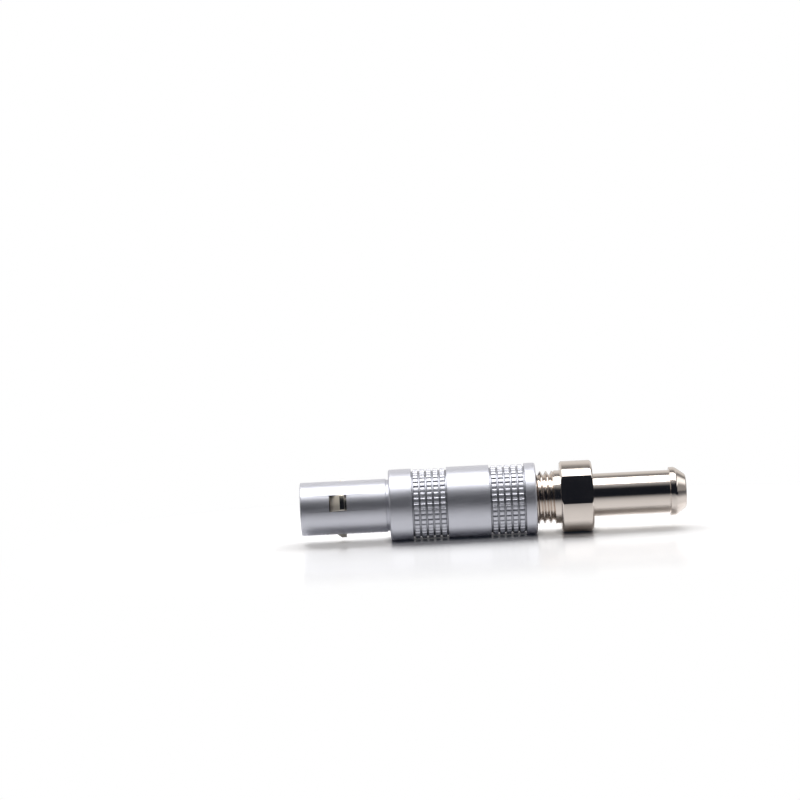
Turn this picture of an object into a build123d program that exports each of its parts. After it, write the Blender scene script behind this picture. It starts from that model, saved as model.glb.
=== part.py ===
from build123d import *
import math
import os

# Push-pull circular plug for one coaxial cable, at its real size in millimetres.
# The axis is X: x = 0 is the front rim of the nose, and x grows towards the cable.
# Angles are right-handed turns about +X, counted from +Y.
# The plug lies on its side, with its clamp nut unscrewed part of the way.

# Fits
slide_gap = 0.10         # radial room where one piece slides or turns in another
seat_gap = 0.05          # radial room where one piece sits in another and stays
end_gap = 0.10           # room endways between a piece and its stop
thread_gap = 0.05        # radial room between the two threads

# Outer shell, which is also the release grip
nose_dia = 9.0
nose_len = 15.0
nose_wall = 0.6
nose_chamfer = 0.2
undercut_len = 0.5
undercut_depth = 0.15
grip_dia = 12.0
grip_len = 24.8
grip_wall = 0.9
grip_front_chamfer = 0.3
grip_rear_chamfer = 0.5
grip_bore_chamfer = 0.15
shoulder_len = 2.0       # solid length behind the face where the grip starts

# Waffle knurl, in two bands on the grip
knurl_rows = 38
knurl_pads = 5
pad_pitch = 1.13
pad_groove = 0.36
pad_drop = 0.17          # pad tops below the smooth grip
pad_height = 0.33
vee_depth = 0.28         # lengthways grooves below the pad tops
vee_angle = 60.0
front_land = 3.82        # smooth length in front of the first band
rear_land = 1.82         # smooth length behind the second band

# Latches: windows in the nose, teeth on spring fingers
latch_count = 3
latch_angle = 162.0
window_x = 4.9
window_len = 2.95
window_width = 2.8
window_corner = 0.2
tooth_side_gap = 0.06
tooth_front_gap = 0.15
tooth_rear_gap = 0.25
tooth_rise = 0.6         # tooth crest above the nose
tooth_crest_len = 0.75
tooth_rear_lean = 0.1
finger_wall = 0.5
finger_lead = 1.5        # finger in front of the window
finger_tip_chamfer = 0.2
finger_flex_room = 0.6
slot_width = 3.4
latch_ring_len = 4.1     # unslotted length in front of the flange
release_travel = 1.5
flange_len = 1.2
screw_neck_len = 4.0

# Inner sleeve, which ties the latches to the cable end
sleeve_recess = 1.2      # its rear end lies inside the grip
sleeve_wall = 0.75
thread_wall = 0.5        # outside the thread, which is M9 x 1
cone_step = 0.5          # ledge that the braid cone sits on
thread_run_in = 0.4
relief_len = 0.8
relief_depth = 0.05
sleeve_chamfer = 0.2

# Contact carrier and its insulators
carrier_reach = 5.0      # inside the fingers
carrier_lip_len = 0.6
carrier_lip = 0.3
carrier_flange_len = 1.2
bore_shift = 0.1         # the insulators' bore lies this far outside the middle of its room
insulator_recess = 0.2
rear_insulator_len = 6.0
ring_inset = 3.0         # from the carrier's rear end to the rear insulator
ring_section = 0.5
ring_width = 0.95
ring_groove_depth = 0.3
ring_split = 1.2

# Centre contact
pin_dia = 1.3
pin_reach = 4.5          # in front of the carrier
pin_tip_chamfer = 0.35
collar_dia = 2.2
collar_len = 1.0
cup_dia = 1.8
cup_wall = 0.3
cup_depth = 3.0
cup_end_gap = 0.2        # the cup ends this far inside the carrier
cup_cut_len = 1.6

# Braid cone, thrust washer and cable collet
cone_flange_len = 1.2
cone_spigot_len = 3.4
cone_taper = 0.35        # radius lost along the cone
cone_wall = 0.35
braid_room = 0.4         # for the braid, between the cone and the collet's mouth
washer_len = 0.6
washer_wall = 0.7
spigot_wall = 0.4
collet_flange_dia = 7.7
collet_flange_len = 0.8
collet_ease = 0.10       # the open collet's bore is wider than the cable's by this radius
collet_wall = 0.9
collet_mouth_len = 4.0
collet_taper_len = 1.1
collet_slots = 4
collet_slot_width = 0.6
collet_slot_len = 7.0

# Clamp nut with its spigot
nut_gap = 4.1            # from the grip to the collar, as it lies
nut_home_travel = 2.4    # what it can still be screwed in
nut_engaged = 3.4        # thread inside the sleeve, as it lies
thread_chamfer = 0.4
nut_neck_len = 1.5
nut_collar_dia = 12.0
nut_collar_len = 5.4
collar_chamfer = 0.3
flat_depth = 0.5         # each spanner flat, below the collar's round
nut_flat_angle = 161.0
cable_bore = 4.4
cavity_depth = 9.3
cavity_cone_angle = 30.0
spigot_dia = 7.25
spigot_len = 13.0
barb_rise = 0.475
barb_len = 1.0
barb_cone_len = 1.8
barb_tip_wall = 0.55
barb_tip_chamfer = 0.2

# Radii from the grip inwards
grip_r = grip_dia / 2
pad_r = grip_r - pad_drop
grip_bore_r = grip_r - grip_wall
sleeve_r = grip_bore_r - slide_gap
sleeve_bore_r = sleeve_r - sleeve_wall
thread_r = sleeve_r - thread_wall
male_r = thread_r - thread_gap

# Radii from the cable outwards
cable_bore_r = cable_bore / 2
collet_bore_r = cable_bore_r + collet_ease
collet_r = collet_bore_r + collet_wall
cavity_r = collet_r + slide_gap

# Radii of the collet's flange, its seat, and what passes through the washer
collet_flange_r = collet_flange_dia / 2
cone_seat_r = collet_flange_r + seat_gap
sleeve_waist_r = cone_seat_r - cone_step
washer_bore_r = collet_flange_r - washer_wall
collet_spigot_r = washer_bore_r - seat_gap
mouth_r = collet_spigot_r - spigot_wall
cone_root_r = mouth_r - braid_room
cone_tip_r = cone_root_r - cone_taper

# Radii of the nose and what sits in it
nose_r = nose_dia / 2
nose_bore_r = nose_r - nose_wall
finger_r = nose_bore_r - seat_gap
finger_bore_r = finger_r - finger_wall
tooth_crest_r = nose_r + tooth_rise
carrier_r = finger_bore_r - seat_gap
cup_r = cup_dia / 2
insulator_bore_r = (cup_r + carrier_r) / 2 + bore_shift
insulator_r = insulator_bore_r - seat_gap
lip_bore_r = insulator_bore_r - carrier_lip

# Lengths of the knurl bands
band_len = knurl_pads * pad_pitch + pad_groove

# Places from the nose back
grip_x = nose_len
grip_end = grip_x + grip_len
shoulder_x = grip_x + shoulder_len
tooth_x = window_x + tooth_front_gap
tooth_end = window_x + window_len - tooth_rear_gap
finger_tip_x = window_x - finger_lead
flange_x = shoulder_x + release_travel + end_gap
slot_end_x = flange_x - latch_ring_len
sleeve_x = flange_x + flange_len
screw_neck_end = sleeve_x + screw_neck_len
carrier_end = screw_neck_end + carrier_flange_len
carrier_x = slot_end_x - carrier_reach
insulator_x = carrier_x + carrier_lip_len
rear_insulator_end = carrier_end - ring_inset
insulator_split_x = rear_insulator_end - rear_insulator_len
pin_tip_x = carrier_x - pin_reach
cup_end = carrier_end - cup_end_gap

# Places at the cable end, from the grip's rear rim
sleeve_end = grip_end - sleeve_recess
nut_x = sleeve_end - nut_engaged
thread_x = nut_x - nut_home_travel - thread_run_in
collar_x = grip_end + nut_gap
collar_end = collar_x + nut_collar_len
spigot_end = collar_end + spigot_len
nut_end = spigot_end + barb_len + barb_cone_len
cavity_end = nut_x + cavity_depth
collet_flange_x = nut_x - end_gap - collet_flange_len
washer_x = collet_flange_x - washer_len
cone_face_x = washer_x - nut_home_travel - end_gap
cone_seat_x = cone_face_x - cone_flange_len


def lathe(*corners):
    """Solid turned about the X axis from (x, radius) corners."""
    return revolve(make_face(Polyline(*corners, close=True)), Axis.X)


def tube(x0, x1, outer, inner):
    """Plain ring from x0 to x1, given its radii."""
    return lathe((x0, inner), (x0, outer), (x1, outer), (x1, inner))


def radial_block(x0, x1, r0, r1, width, angle):
    """Block that stands on a radius: r0 to r1 outwards, width across."""
    block = Pos((x0 + x1) / 2, (r0 + r1) / 2, 0) * Box(x1 - x0, r1 - r0, width)
    return Rot(X=angle) * block


def turns(count, start):
    """Evenly spaced angles round the axis."""
    return [start + 360 * i / count for i in range(count)]


def band_rings(band_x):
    """Cutters of one knurl band that run round the grip: the step down to the pads, and the grooves."""
    floor_r = pad_r - pad_height
    clear_r = grip_r + 1
    rings = [tube(band_x, band_x + band_len, clear_r, pad_r)]
    for i in range(knurl_pads + 1):
        groove_x = band_x + i * pad_pitch
        rings.append(tube(groove_x, groove_x + pad_groove, clear_r, floor_r))
    return rings


def band_vees(band_x):
    """Cutters of one knurl band that run lengthways, from its first groove to its last."""
    bottom_r = pad_r - vee_depth
    clear_r = grip_r + 1
    half = (clear_r - bottom_r) * math.tan(math.radians(vee_angle / 2))
    start = band_x + pad_groove / 2
    outline = Polyline((start, bottom_r, 0), (start, clear_r, half), (start, clear_r, -half), close=True)
    vee = extrude(make_face(outline), knurl_pads * pad_pitch, dir=(1, 0, 0))
    return [Rot(X=angle) * vee for angle in turns(knurl_rows, latch_angle)]


def latch_window(angle):
    """Cutter for one window in the nose, with rounded corners."""
    block = radial_block(window_x, window_x + window_len, finger_bore_r, nose_r + 1, window_width, 0)
    corners = block.edges().filter_by(Axis.Y)
    return Rot(X=angle) * fillet(corners, window_corner)


def outer_shell():
    """Nose, knurled grip and the bores for the latches and the inner sleeve."""
    undercut_x = grip_x - undercut_len
    undercut_r = nose_r - undercut_depth
    shell = lathe(
        (0, nose_bore_r + nose_chamfer),
        (0, nose_r - nose_chamfer),
        (nose_chamfer, nose_r),
        (undercut_x, nose_r),
        (undercut_x, undercut_r),
        (grip_x, undercut_r),
        (grip_x, grip_r - grip_front_chamfer),
        (grip_x + grip_front_chamfer, grip_r),
        (grip_end - grip_rear_chamfer, grip_r),
        (grip_end, grip_r - grip_rear_chamfer),
        (grip_end, grip_bore_r + grip_bore_chamfer),
        (grip_end - grip_bore_chamfer, grip_bore_r),
        (shoulder_x, grip_bore_r),
        (shoulder_x, nose_bore_r),
        (nose_chamfer, nose_bore_r),
    )
    for band_x in (grip_x + front_land, grip_end - rear_land - band_len):
        shell -= band_rings(band_x)
        shell -= band_vees(band_x)
    return shell - [latch_window(angle) for angle in turns(latch_count, latch_angle)]


def latch_tooth(angle):
    """Tooth of one finger: a ramp to the front, a turned crest and a steep rear face."""
    crest_end = tooth_end - tooth_rear_lean
    crest_x = crest_end - tooth_crest_len
    foot_r = finger_r - finger_wall / 2
    ramp_slope = (tooth_crest_r - finger_r) / (crest_x - tooth_x)
    ring = lathe(
        (tooth_x - (finger_r - foot_r) / ramp_slope, foot_r),
        (crest_x, tooth_crest_r),
        (crest_end, tooth_crest_r),
        (tooth_end, foot_r),
    )
    width = window_width - 2 * tooth_side_gap
    return ring & radial_block(0, nose_len, 0, grip_r, width, angle)


def finger_slot(angle):
    """Cutter between two fingers, open at the front and round at its end."""
    slot_r = slot_width / 2
    end_x = slot_end_x - slot_r
    reach = grip_r
    end = Pos(end_x, reach / 2, 0) * Rot(X=90) * Cylinder(slot_r, reach)
    return radial_block(0, end_x, 0, reach, slot_width, angle) + Rot(X=angle) * end


def latch_sleeve():
    """Spring fingers with their teeth, a flange that stops the shell, and a screwed neck."""
    neck_r = sleeve_bore_r - seat_gap
    sleeve = lathe(
        (finger_tip_x, finger_bore_r),
        (finger_tip_x, finger_r - finger_tip_chamfer),
        (finger_tip_x + finger_tip_chamfer, finger_r),
        (flange_x, finger_r),
        (flange_x, sleeve_r),
        (sleeve_x, sleeve_r),
        (sleeve_x, neck_r),
        (screw_neck_end, neck_r),
        (screw_neck_end, finger_bore_r),
    )
    half_turn = 180 / latch_count
    sleeve -= [finger_slot(angle + half_turn) for angle in turns(latch_count, latch_angle)]
    return sleeve + [latch_tooth(angle) for angle in turns(latch_count, latch_angle)]


def inner_sleeve():
    """Tube that slides in the grip, stepped for the carrier and the cone, threaded for the nut."""
    relief_r = thread_r + relief_depth
    return lathe(
        (sleeve_x, sleeve_bore_r),
        (sleeve_x, sleeve_r),
        (sleeve_end - sleeve_chamfer, sleeve_r),
        (sleeve_end, sleeve_r - sleeve_chamfer),
        (sleeve_end, relief_r),
        (sleeve_end - sleeve_chamfer, thread_r),
        (thread_x, thread_r),
        (thread_x, relief_r),
        (thread_x - relief_len, relief_r),
        (thread_x - relief_len, cone_seat_r),
        (cone_seat_x, cone_seat_r),
        (cone_seat_x, sleeve_waist_r),
        (carrier_end, sleeve_waist_r),
        (carrier_end, sleeve_bore_r),
    )


def contact_carrier():
    """Metal tube that holds the insulators and makes the earth contact in the nose."""
    front_r = finger_bore_r - finger_flex_room
    seat_x = slot_end_x + end_gap
    flange_r = sleeve_bore_r - seat_gap
    groove_r = insulator_bore_r + ring_groove_depth
    groove_end = rear_insulator_end + ring_section + end_gap
    return lathe(
        (carrier_x, lip_bore_r),
        (carrier_x, front_r),
        (seat_x, front_r),
        (seat_x, carrier_r),
        (screw_neck_end, carrier_r),
        (screw_neck_end, flange_r),
        (carrier_end, flange_r),
        (carrier_end, insulator_bore_r),
        (groove_end, insulator_bore_r),
        (groove_end, groove_r),
        (rear_insulator_end, groove_r),
        (rear_insulator_end, insulator_bore_r),
        (insulator_x, insulator_bore_r),
        (insulator_x, lip_bore_r),
    )


def front_insulator():
    """Insulator round the pin, with a boss in the carrier's lip."""
    boss_x = carrier_x + insulator_recess
    boss_r = lip_bore_r - seat_gap
    pin_hole_r = pin_dia / 2 + seat_gap
    return lathe(
        (boss_x, pin_hole_r),
        (boss_x, boss_r),
        (insulator_x, boss_r),
        (insulator_x, insulator_r),
        (insulator_split_x, insulator_r),
        (insulator_split_x, pin_hole_r),
    )


def rear_insulator():
    """Insulator behind the contact's collar, hollowed to take it."""
    collar_hole_r = collar_dia / 2 + seat_gap
    collar_seat_x = insulator_split_x + collar_len
    cup_hole_r = cup_r + seat_gap
    return lathe(
        (insulator_split_x, collar_hole_r),
        (insulator_split_x, insulator_r),
        (rear_insulator_end, insulator_r),
        (rear_insulator_end, cup_hole_r),
        (collar_seat_x, cup_hole_r),
        (collar_seat_x, collar_hole_r),
    )


def retaining_ring():
    """Split ring in the carrier's groove, behind the rear insulator."""
    ring_r = insulator_bore_r + ring_groove_depth - seat_gap
    ring_end = rear_insulator_end + ring_section
    ring = tube(rear_insulator_end, ring_end, ring_r, ring_r - ring_width)
    return ring - radial_block(rear_insulator_end, ring_end, 0, grip_r, ring_split, latch_angle + 180)


def centre_contact():
    """Pin with a chamfered tip, a collar between the insulators and a solder cup."""
    pin_r = pin_dia / 2
    collar_r = collar_dia / 2
    collar_end_x = insulator_split_x + collar_len
    contact = lathe(
        (pin_tip_x, 0),
        (pin_tip_x, pin_r - pin_tip_chamfer),
        (pin_tip_x + pin_tip_chamfer, pin_r),
        (insulator_split_x, pin_r),
        (insulator_split_x, collar_r),
        (collar_end_x, collar_r),
        (collar_end_x, cup_r),
        (cup_end, cup_r),
        (cup_end, cup_r - cup_wall),
        (cup_end - cup_depth, cup_r - cup_wall),
        (cup_end - cup_depth, 0),
    )
    return contact - radial_block(cup_end - cup_cut_len, cup_end, 0, cup_dia, cup_dia, latch_angle)


def braid_cone():
    """Flanged bush in the inner sleeve, with the cone that the cable's braid is folded over."""
    bore_r = cone_tip_r - cone_wall
    return lathe(
        (cone_seat_x, bore_r),
        (cone_seat_x, collet_flange_r),
        (cone_face_x, collet_flange_r),
        (cone_face_x, cone_root_r),
        (cone_face_x + cone_spigot_len, cone_tip_r),
        (cone_face_x + cone_spigot_len, bore_r),
    )


def thrust_washer():
    """Flat washer on the collet's front spigot."""
    return tube(washer_x, washer_x + washer_len, collet_flange_r, washer_bore_r)


def cable_collet():
    """Slotted collet that the nut's cone closes on the cable."""
    flange_end = collet_flange_x + collet_flange_len
    slope = math.tan(math.radians(cavity_cone_angle))
    taper_x = cavity_end - slide_gap / slope
    collet_end = taper_x + collet_taper_len
    collet = lathe(
        (washer_x, mouth_r),
        (washer_x, collet_spigot_r),
        (collet_flange_x, collet_spigot_r),
        (collet_flange_x, collet_flange_r),
        (flange_end, collet_flange_r),
        (flange_end, collet_r),
        (taper_x, collet_r),
        (collet_end, collet_r - collet_taper_len * slope),
        (collet_end, collet_bore_r),
        (washer_x + collet_mouth_len, collet_bore_r),
    )
    slot_x = collet_end - collet_slot_len
    slots = [radial_block(slot_x, collet_end, 0, grip_r, collet_slot_width, angle)
             for angle in turns(collet_slots, latch_angle)]
    return collet - slots


def clamp_nut():
    """Threaded nut with a collar for a spanner and a barbed spigot for a bend relief."""
    collar_r = nut_collar_dia / 2
    spigot_r = spigot_dia / 2
    barb_r = spigot_r + barb_rise
    barb_tip_r = cable_bore_r + barb_tip_wall
    cavity_cone_len = (cavity_r - cable_bore_r) / math.tan(math.radians(cavity_cone_angle))
    nut = lathe(
        (nut_x, cavity_r),
        (nut_x, male_r - thread_chamfer),
        (nut_x + thread_chamfer, male_r),
        (collar_x - nut_neck_len, male_r),
        (collar_x - nut_neck_len, thread_r),
        (collar_x, thread_r),
        (collar_x, collar_r - collar_chamfer),
        (collar_x + collar_chamfer, collar_r),
        (collar_end - collar_chamfer, collar_r),
        (collar_end, collar_r - collar_chamfer),
        (collar_end, spigot_r),
        (spigot_end, spigot_r),
        (spigot_end, barb_r),
        (spigot_end + barb_len, barb_r),
        (nut_end - barb_tip_chamfer, barb_tip_r),
        (nut_end, barb_tip_r - barb_tip_chamfer),
        (nut_end, cable_bore_r),
        (cavity_end + cavity_cone_len, cable_bore_r),
        (cavity_end, cavity_r),
    )
    flat_r = collar_r - flat_depth
    flats = [radial_block(collar_x, collar_end, flat_r, nut_collar_dia, nut_collar_dia, angle)
             for angle in turns(2, nut_flat_angle)]
    return nut - flats


nodes = {
    "outer_shell": outer_shell,
    "latch_sleeve": latch_sleeve,
    "inner_sleeve": inner_sleeve,
    "contact_carrier": contact_carrier,
    "front_insulator": front_insulator,
    "rear_insulator": rear_insulator,
    "retaining_ring": retaining_ring,
    "centre_contact": centre_contact,
    "braid_cone": braid_cone,
    "thrust_washer": thrust_washer,
    "cable_collet": cable_collet,
    "clamp_nut": clamp_nut,
}

os.makedirs("parts", exist_ok=True)
for name, build in nodes.items():
    export_step(build(), f"parts/{name}.step")
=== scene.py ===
"""Looks of a push-pull circular plug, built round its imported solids.

All lengths are in metres. The plug's axis is X, with the nose's front rim at x = 0 and +Z up.
Angles round the axis are right-handed turns about +X, counted from +Y.
"""
import logging
import math
from dataclasses import dataclass, field
from enum import Enum
from typing import Union

import bmesh
import bpy
import numpy as np
from mathutils import Matrix, Vector


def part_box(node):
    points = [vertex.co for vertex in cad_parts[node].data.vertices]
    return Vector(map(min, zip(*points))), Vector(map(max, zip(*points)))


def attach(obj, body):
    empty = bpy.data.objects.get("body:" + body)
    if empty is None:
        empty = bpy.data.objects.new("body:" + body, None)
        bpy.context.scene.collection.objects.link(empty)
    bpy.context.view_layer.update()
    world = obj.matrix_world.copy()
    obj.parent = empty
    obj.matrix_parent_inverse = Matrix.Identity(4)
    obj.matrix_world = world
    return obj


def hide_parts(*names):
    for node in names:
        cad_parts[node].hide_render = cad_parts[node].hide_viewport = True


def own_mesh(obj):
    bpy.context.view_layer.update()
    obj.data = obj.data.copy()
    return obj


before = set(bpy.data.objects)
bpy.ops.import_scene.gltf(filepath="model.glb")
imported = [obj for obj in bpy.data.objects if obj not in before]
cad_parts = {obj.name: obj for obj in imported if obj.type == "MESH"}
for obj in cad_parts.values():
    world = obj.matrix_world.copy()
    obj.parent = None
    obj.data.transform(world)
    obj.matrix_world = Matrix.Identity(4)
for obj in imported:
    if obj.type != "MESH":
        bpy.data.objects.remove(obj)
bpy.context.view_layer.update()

MM = 0.001
FINE = 0.05 * MM
MERGE = 1e-7
RING_STEP = 2.0
CORNER_ANGLE = 50.0
LATCH_ANGLE = 162.0
LATCH_COUNT = 3
WHITE = (1.0, 1.0, 1.0)

log = logging.getLogger("plug")
Pair = tuple[float, float]
Triple = tuple[float, float, float]
Colour = Triple
Settings = dict[str, object]
Sockets = dict[Union[str, int], object]
Socket = bpy.types.NodeSocket
Piece = bpy.types.Object
Mesh = bmesh.types.BMesh


class Op(Enum):
    """Arithmetic that a shader graph can do."""

    ADD = "ADD"
    SUBTRACT = "SUBTRACT"
    MULTIPLY = "MULTIPLY"
    DIVIDE = "DIVIDE"
    MAXIMUM = "MAXIMUM"
    ARCSINE = "ARCSINE"


class Body(Enum):
    """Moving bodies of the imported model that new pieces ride."""

    CORE = "core"
    SHELL = "shell"
    NUT = "nut"


class Slot(Enum):
    """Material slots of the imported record."""

    SATIN_CHROME = "satin_chrome"
    BRIGHT_NICKEL = "bright_nickel"
    NICKEL_BRASS = "nickel_brass"
    SPRING_NICKEL = "spring_nickel"
    GOLD_PLATING = "gold_plating"
    WHITE_INSULATOR = "white_insulator"


class Signal:
    """A shader socket that takes part in Python arithmetic through Math nodes."""

    def __init__(self, graph: "Graph", socket: Socket) -> None:
        """Keep the graph that new nodes go into, and the socket."""
        self.graph = graph
        self.socket = socket

    def _math(self, op: Op, first: object, second: object, clamp: bool = False) -> "Signal":
        """Add one Math node.

        Args:
            op: what the node does.
            first: a signal or a number.
            second: a signal or a number.
            clamp: whether the result is kept from 0 to 1.

        Returns:
            The node's result.
        """
        settings = {"operation": op.value, "use_clamp": clamp}
        made = self.graph.node("ShaderNodeMath", settings, {0: first, 1: second})
        return Signal(self.graph, made.outputs[0])

    def __add__(self, other: object) -> "Signal":
        """Sum."""
        return self._math(Op.ADD, self, other)

    __radd__ = __add__

    def __sub__(self, other: object) -> "Signal":
        """Difference."""
        return self._math(Op.SUBTRACT, self, other)

    def __rsub__(self, other: object) -> "Signal":
        """Difference from a number."""
        return self._math(Op.SUBTRACT, other, self)

    def __mul__(self, other: object) -> "Signal":
        """Product."""
        return self._math(Op.MULTIPLY, self, other)

    __rmul__ = __mul__

    def __truediv__(self, other: object) -> "Signal":
        """Quotient."""
        return self._math(Op.DIVIDE, self, other)

    def __rtruediv__(self, other: object) -> "Signal":
        """Quotient of a number by it."""
        return self._math(Op.DIVIDE, other, self)

    def __neg__(self) -> "Signal":
        """Its opposite."""
        return self._math(Op.SUBTRACT, 0.0, self)

    @staticmethod
    def zero(graph: "Graph") -> "Signal":
        """A signal that is 0, to start a sum from."""
        return graph.signal("ShaderNodeValue", "Value", {}, {})

    def clamped(self) -> "Signal":
        """Itself, kept from 0 to 1."""
        return self._math(Op.ADD, self, 0.0, clamp=True)

    def past_zero(self) -> "Signal":
        """Square of itself where it is over 0, or else 0."""
        over = self.at_least(0.0)
        return over * over

    def at_least(self, floor: object) -> "Signal":
        """The larger of itself and another."""
        return self._math(Op.MAXIMUM, self, floor)

    def arcsine(self) -> "Signal":
        """Angle whose sine it is, in radians."""
        return self._math(Op.ARCSINE, self, 0.0)

    def step(self, low: float, high: float) -> "Signal":
        """Smooth step, from 0 at the first value to 1 at the second."""
        share = ((self - low) / (high - low)).clamped()
        return share * share * (3.0 - 2.0 * share)


class Graph:
    """A node tree that is built from Python expressions."""

    def __init__(self, owner: bpy.types.ID) -> None:
        """Start from an empty tree.

        Args:
            owner: the material or world that gets the nodes.
        """
        owner.use_nodes = True
        self.tree = owner.node_tree
        self.tree.nodes.clear()

    def plug(self, target: Socket, value: object) -> None:
        """Link a socket or signal to a socket, or set its value.

        Args:
            target: the socket that takes it.
            value: a signal, a socket, a number or a tuple.
        """
        if isinstance(value, Signal):
            value = value.socket
        if isinstance(value, Socket):
            self.tree.links.new(value, target)
        elif isinstance(value, tuple) and target.type == "RGBA":
            target.default_value = (*value, 1.0)
        else:
            target.default_value = value

    def node(self, kind: str, settings: Settings, sockets: Sockets) -> bpy.types.Node:
        """Add one node.

        Args:
            kind: the node's type.
            settings: its properties, which are set first.
            sockets: values or links by the sockets' names or numbers.

        Returns:
            The node.
        """
        made = self.tree.nodes.new(kind)
        for name, value in settings.items():
            setattr(made, name, value)
        for name, value in sockets.items():
            self.plug(made.inputs[name], value)
        return made

    def signal(self, kind: str, output: str, settings: Settings, sockets: Sockets) -> Signal:
        """Add one node and take one of its outputs as a signal."""
        return Signal(self, self.node(kind, settings, sockets).outputs[output])

    def stretched(self, place: Socket, scale: Triple) -> Socket:
        """Multiply a place by a vector, through Vector Math.

        Args:
            place: the place's socket.
            scale: the vector.

        Returns:
            The product's socket.
        """
        made = self.node("ShaderNodeVectorMath", {"operation": "MULTIPLY"}, {0: place})
        made.inputs[1].default_value = scale
        return made.outputs[0]

    def noise(self, place: Socket, detail: float = 2.0) -> Signal:
        """Noise from 0 to 1 at a place."""
        return self.signal("ShaderNodeTexNoise", "Fac", {},
                           {"Vector": place, "Scale": 1.0, "Detail": detail})

    def mixed(self, share: object, first: object, second: object) -> Socket:
        """Colour between two colours or their sockets, where 0 gives the first and 1 the second."""
        return self.node("ShaderNodeMix", {"data_type": "RGBA"}, {0: share, 6: first, 7: second}).outputs[2]

    def place(self, space: str) -> Socket:
        """Place on the object itself, or direction for the world."""
        return self.node("ShaderNodeTexCoord", {}, {}).outputs[space]

    def axes(self, place: Socket) -> list[Signal]:
        """The three parts of a place."""
        return [Signal(self, part) for part in self.node("ShaderNodeSeparateXYZ", {}, {0: place}).outputs]

    def glow(self, colour: object) -> Socket:
        """Shader of a surface that glows."""
        made = self.node("ShaderNodeEmission", {}, {"Color": colour, "Strength": 1.0})
        return made.outputs["Emission"]

    def blended(self, share: Signal, first: Socket, second: Socket) -> Socket:
        """Shader between two shaders, where 0 gives the first and 1 the second."""
        return self.node("ShaderNodeMixShader", {}, {0: share, 1: first, 2: second}).outputs["Shader"]

    def finish(self, shader: Socket) -> None:
        """Make a shader the material's surface."""
        self.node("ShaderNodeOutputMaterial", {}, {"Surface": shader})


def shaded(colour: Colour, share: float) -> Colour:
    """A colour made lighter or darker, kept at most 1."""
    return tuple(min(1.0, channel * share) for channel in colour)


@dataclass(frozen=True)
class Stretch:
    """A stretch of the axis."""

    start: float
    end: float

    def share(self, x: Signal, blend: float = 0.03 * MM) -> Signal:
        """Mark the stretch.

        Args:
            x: place along the axis.
            blend: half the length over which each end fades.

        Returns:
            A signal that is 1 inside the stretch.
        """
        begun = x.step(self.start - blend, self.start + blend)
        ended = x.step(self.end - blend, self.end + blend)
        return begun * (1.0 - ended)


@dataclass(frozen=True)
class TurnedFinish:
    """A finish on turned metal or plastic, with fine lines that run round the axis."""

    slot: Slot
    colour: Colour
    roughness: float
    metallic: float = 1.0
    line_pitch: float = 0.08 * MM
    line_depth: float = 0.0004 * MM
    line_roughness: float = 0.06
    line_stretch: float = 50.0
    cloud_size: float = 2.5 * MM
    cloud_roughness: float = 0.05
    cloud_colour: float = 0.04
    grain_size: float = 0.05 * MM
    grain_depth: float = 0.0
    scuff_roughness: float = 0.06
    scuff_edge: Pair = (0.63, 0.70)
    long_scuffs: Triple = (180.0, 4500.0, 4500.0)
    cross_scuffs: Triple = (5200.0, 900.0, 900.0)

    def tone(self, graph: Graph, place: Socket, clouds: Signal) -> Socket:
        """Colour over the surface, which follows the soft noise."""
        return graph.mixed(clouds, shaded(self.colour, 1.0 - self.cloud_colour),
                           shaded(self.colour, 1.0 + self.cloud_colour))

    def gloss(self, graph: Graph, place: Socket) -> object:
        """Roughness before wear: the same all over."""
        return self.roughness

    def scuffs(self, graph: Graph, place: Socket) -> Signal:
        """Thin scratches from handling.

        Args:
            graph: the material's graph.
            place: place on the object.

        Returns:
            A signal that is 1 in the scratches.
        """
        along = graph.noise(graph.stretched(place, self.long_scuffs))
        across = graph.noise(graph.stretched(place, self.cross_scuffs))
        return (along.step(*self.scuff_edge) + across.step(*self.scuff_edge)).clamped()

    def material(self, name: str) -> bpy.types.Material:
        """Build the finish as a material.

        Args:
            name: the material's name.

        Returns:
            The material.
        """
        made = bpy.data.materials.new(name)
        graph = Graph(made)
        place = graph.place("Object")
        around = 1.0 / (self.line_stretch * self.line_pitch)
        lines = graph.noise(graph.stretched(place, (1.0 / self.line_pitch, around, around)))
        clouds = graph.noise(graph.stretched(place, (1.0 / self.cloud_size,) * 3), detail=4.0)
        grain = graph.noise(graph.stretched(place, (1.0 / self.grain_size,) * 3))
        wear = (self.line_roughness * (lines - 0.5) + self.cloud_roughness * (clouds - 0.5)
                + self.scuff_roughness * self.scuffs(graph, place))
        height = lines * self.line_depth + grain * self.grain_depth
        bump = graph.node("ShaderNodeBump", {}, {"Height": height, "Distance": 1.0, "Strength": 1.0})
        shader = graph.node("ShaderNodeBsdfPrincipled", {}, {
            "Base Color": self.tone(graph, place, clouds),
            "Metallic": self.metallic,
            "Roughness": (wear + self.gloss(graph, place)).clamped(),
            "Normal": bump.outputs["Normal"],
        })
        graph.finish(shader.outputs["BSDF"])
        return made


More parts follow.
